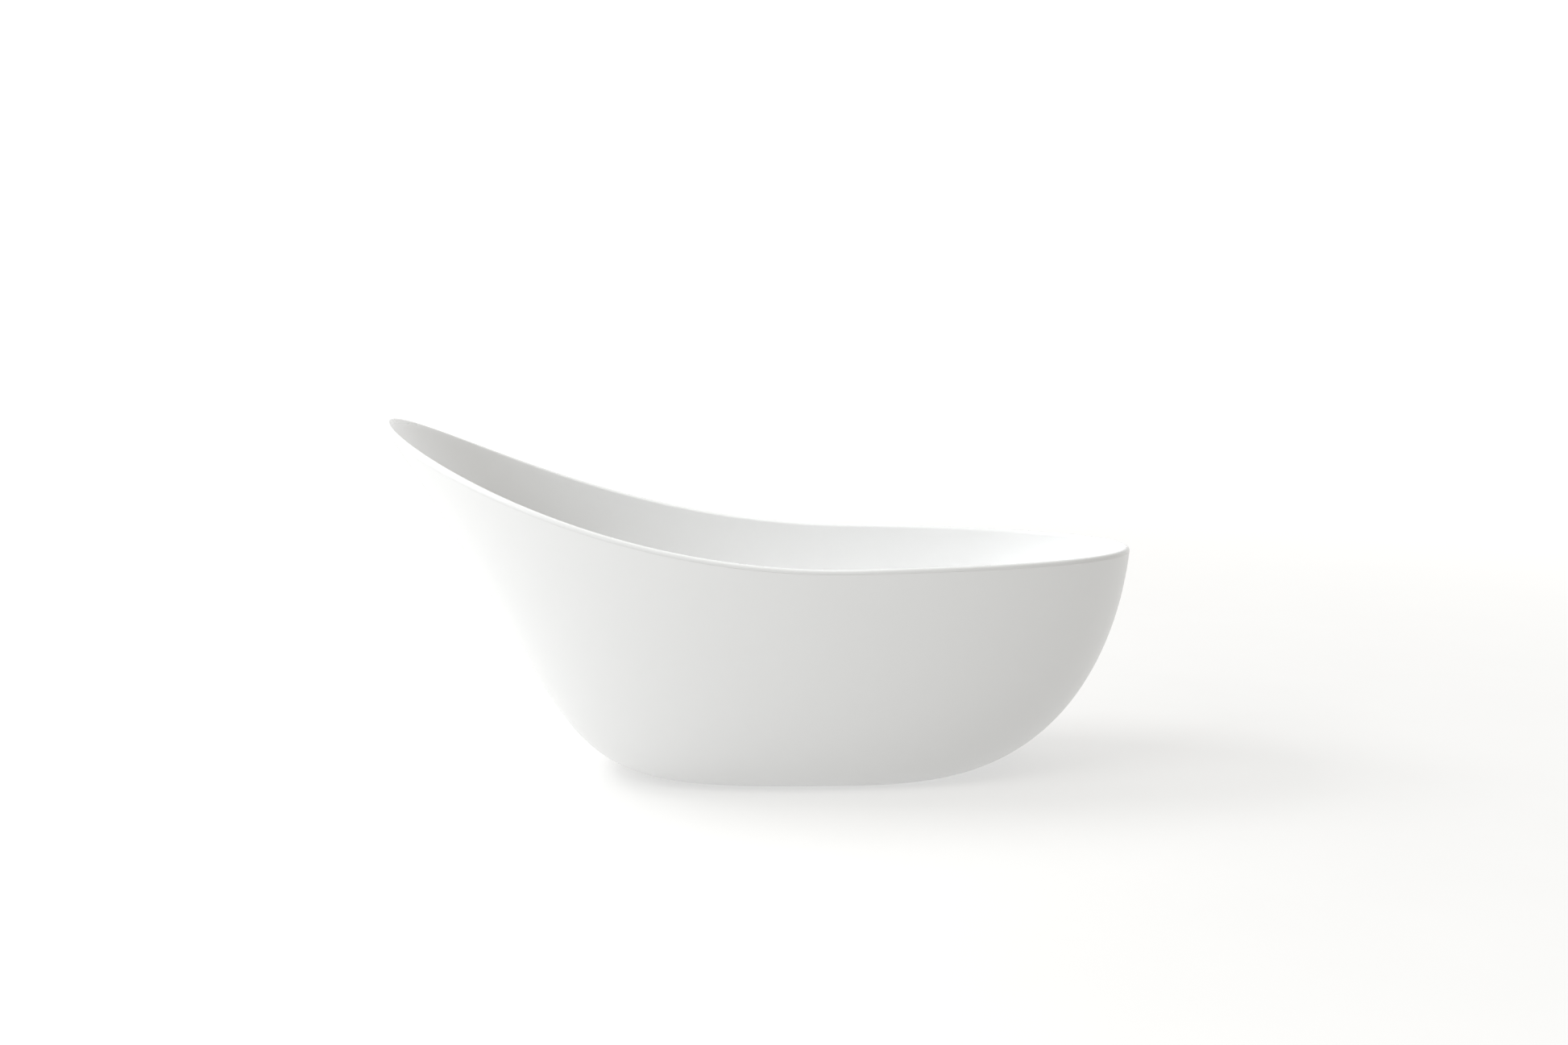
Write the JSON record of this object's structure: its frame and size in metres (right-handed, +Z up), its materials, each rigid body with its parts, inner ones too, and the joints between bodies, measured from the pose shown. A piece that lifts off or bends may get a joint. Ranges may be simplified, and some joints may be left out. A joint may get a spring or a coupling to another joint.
{
  "type": "freestanding bathtub",
  "caption": "Freestanding slipper bathtub: white twin-skin shell with one raised head end and a thin rolled lip, on a hidden steel frame with levelling feet, push plug and overflow.",
  "frame": {"origin": "on the floor under the middle of the rim, the centre of the object's base", "axes": "+X along the tub towards the low foot end, +Y to the tub's left when facing the foot end, +Z up"},
  "size_m": [1.8015, 0.8098, 0.85],
  "materials": {
    "acrylic_gloss_white": "satin white sanitary acrylic, smooth and easily cleaned",
    "plywood": "resin-coated plywood",
    "galvanised_steel": "zinc-plated steel, dull",
    "zinc_fastener": "bright zinc-plated steel",
    "black_plastic": "moulded nylon",
    "foot_rubber": "moulded rubber, dull",
    "seal_rubber": "seal rubber",
    "chrome": "polished chrome plate",
    "brass_nut": "machined brass",
    "white_plastic": "moulded polypropylene",
    "hose_grey": "smooth flexible hose",
    "spring_steel": "drawn stainless wire"
  },
  "bodies": {
    "tub": {"inner_basin": "acrylic_gloss_white", "outer_skirt": "acrylic_gloss_white", "base_board": "plywood", "long_rail_left": "galvanised_steel", "long_rail_right": "galvanised_steel", "cross_rail_head": "galvanised_steel", "cross_rail_middle": "galvanised_steel", "cross_rail_foot": "galvanised_steel", "rail_end_caps": "black_plastic", "frame_screws": "zinc_fastener", "foot_bosses": "galvanised_steel", "foot_lock_nuts": "zinc_fastener", "waste_flange": "chrome", "waste_upper_seal": "seal_rubber", "waste_lower_washer": "seal_rubber", "waste_back_nut": "brass_nut", "waste_body": "white_plastic", "waste_union_nut": "white_plastic", "plug_cartridge": "brass_nut", "plug_spring": "spring_steel", "overflow_cover": "chrome", "overflow_screw": "chrome", "overflow_gasket": "seal_rubber", "overflow_body": "white_plastic", "overflow_pipe": "hose_grey", "pipe_clips": "zinc_fastener"},
    "plug": {"plug_cap": "chrome", "plug_seal": "seal_rubber", "plug_stem": "chrome"},
    "pad_head_left": {"foot_sole_head_left": "foot_rubber", "foot_plate_head_left": "black_plastic"},
    "stud_head_left": {"foot_stud_head_left": "zinc_fastener"},
    "pad_foot_left": {"foot_sole_foot_left": "foot_rubber", "foot_plate_foot_left": "black_plastic"},
    "stud_foot_left": {"foot_stud_foot_left": "zinc_fastener"},
    "pad_head_right": {"foot_sole_head_right": "foot_rubber", "foot_plate_head_right": "black_plastic"},
    "stud_head_right": {"foot_stud_head_right": "zinc_fastener"},
    "pad_foot_right": {"foot_sole_foot_right": "foot_rubber", "foot_plate_foot_right": "black_plastic"},
    "stud_foot_right": {"foot_stud_foot_right": "zinc_fastener"}
  },
  "joints": [
    {"name": "plug_press", "type": "slide", "parent": "tub", "child": "plug", "axis": [0, 0, 1], "range_m": [-0.009, 0], "stiffness_N_per_m": 600, "springref_m": 0.01, "deforming": ["plug_spring"]},
    {"name": "head_left_height", "type": "slide", "parent": "tub", "child": "pad_head_left", "axis": [0, 0, 1], "range_m": [-0.012, 0.003]},
    {"name": "head_left_turn", "type": "hinge", "parent": "pad_head_left", "child": "stud_head_left", "pos_m": [-0.12, 0.14, 0.05], "axis": [0, 0, 1], "range_deg": [-2470, 619]},
    {"name": "foot_left_height", "type": "slide", "parent": "tub", "child": "pad_foot_left", "axis": [0, 0, 1], "range_m": [-0.012, 0.003]},
    {"name": "foot_left_turn", "type": "hinge", "parent": "pad_foot_left", "child": "stud_foot_left", "pos_m": [0.275, 0.14, 0.05], "axis": [0, 0, 1], "range_deg": [-2470, 619]},
    {"name": "head_right_height", "type": "slide", "parent": "tub", "child": "pad_head_right", "axis": [0, 0, 1], "range_m": [-0.012, 0.003]},
    {"name": "head_right_turn", "type": "hinge", "parent": "pad_head_right", "child": "stud_head_right", "pos_m": [-0.12, -0.14, 0.05], "axis": [0, 0, 1], "range_deg": [-2470, 619]},
    {"name": "foot_right_height", "type": "slide", "parent": "tub", "child": "pad_foot_right", "axis": [0, 0, 1], "range_m": [-0.012, 0.003]},
    {"name": "foot_right_turn", "type": "hinge", "parent": "pad_foot_right", "child": "stud_foot_right", "pos_m": [0.275, -0.14, 0.05], "axis": [0, 0, 1], "range_deg": [-2470, 619]}
  ],
  "couplings": [
    {"joint": "head_left_turn", "follows": "head_left_height", "rad_per_m": 3590.4},
    {"joint": "foot_left_turn", "follows": "foot_left_height", "rad_per_m": 3590.4},
    {"joint": "head_right_turn", "follows": "head_right_height", "rad_per_m": 3590.4},
    {"joint": "foot_right_turn", "follows": "foot_right_height", "rad_per_m": 3590.4}
  ]
}
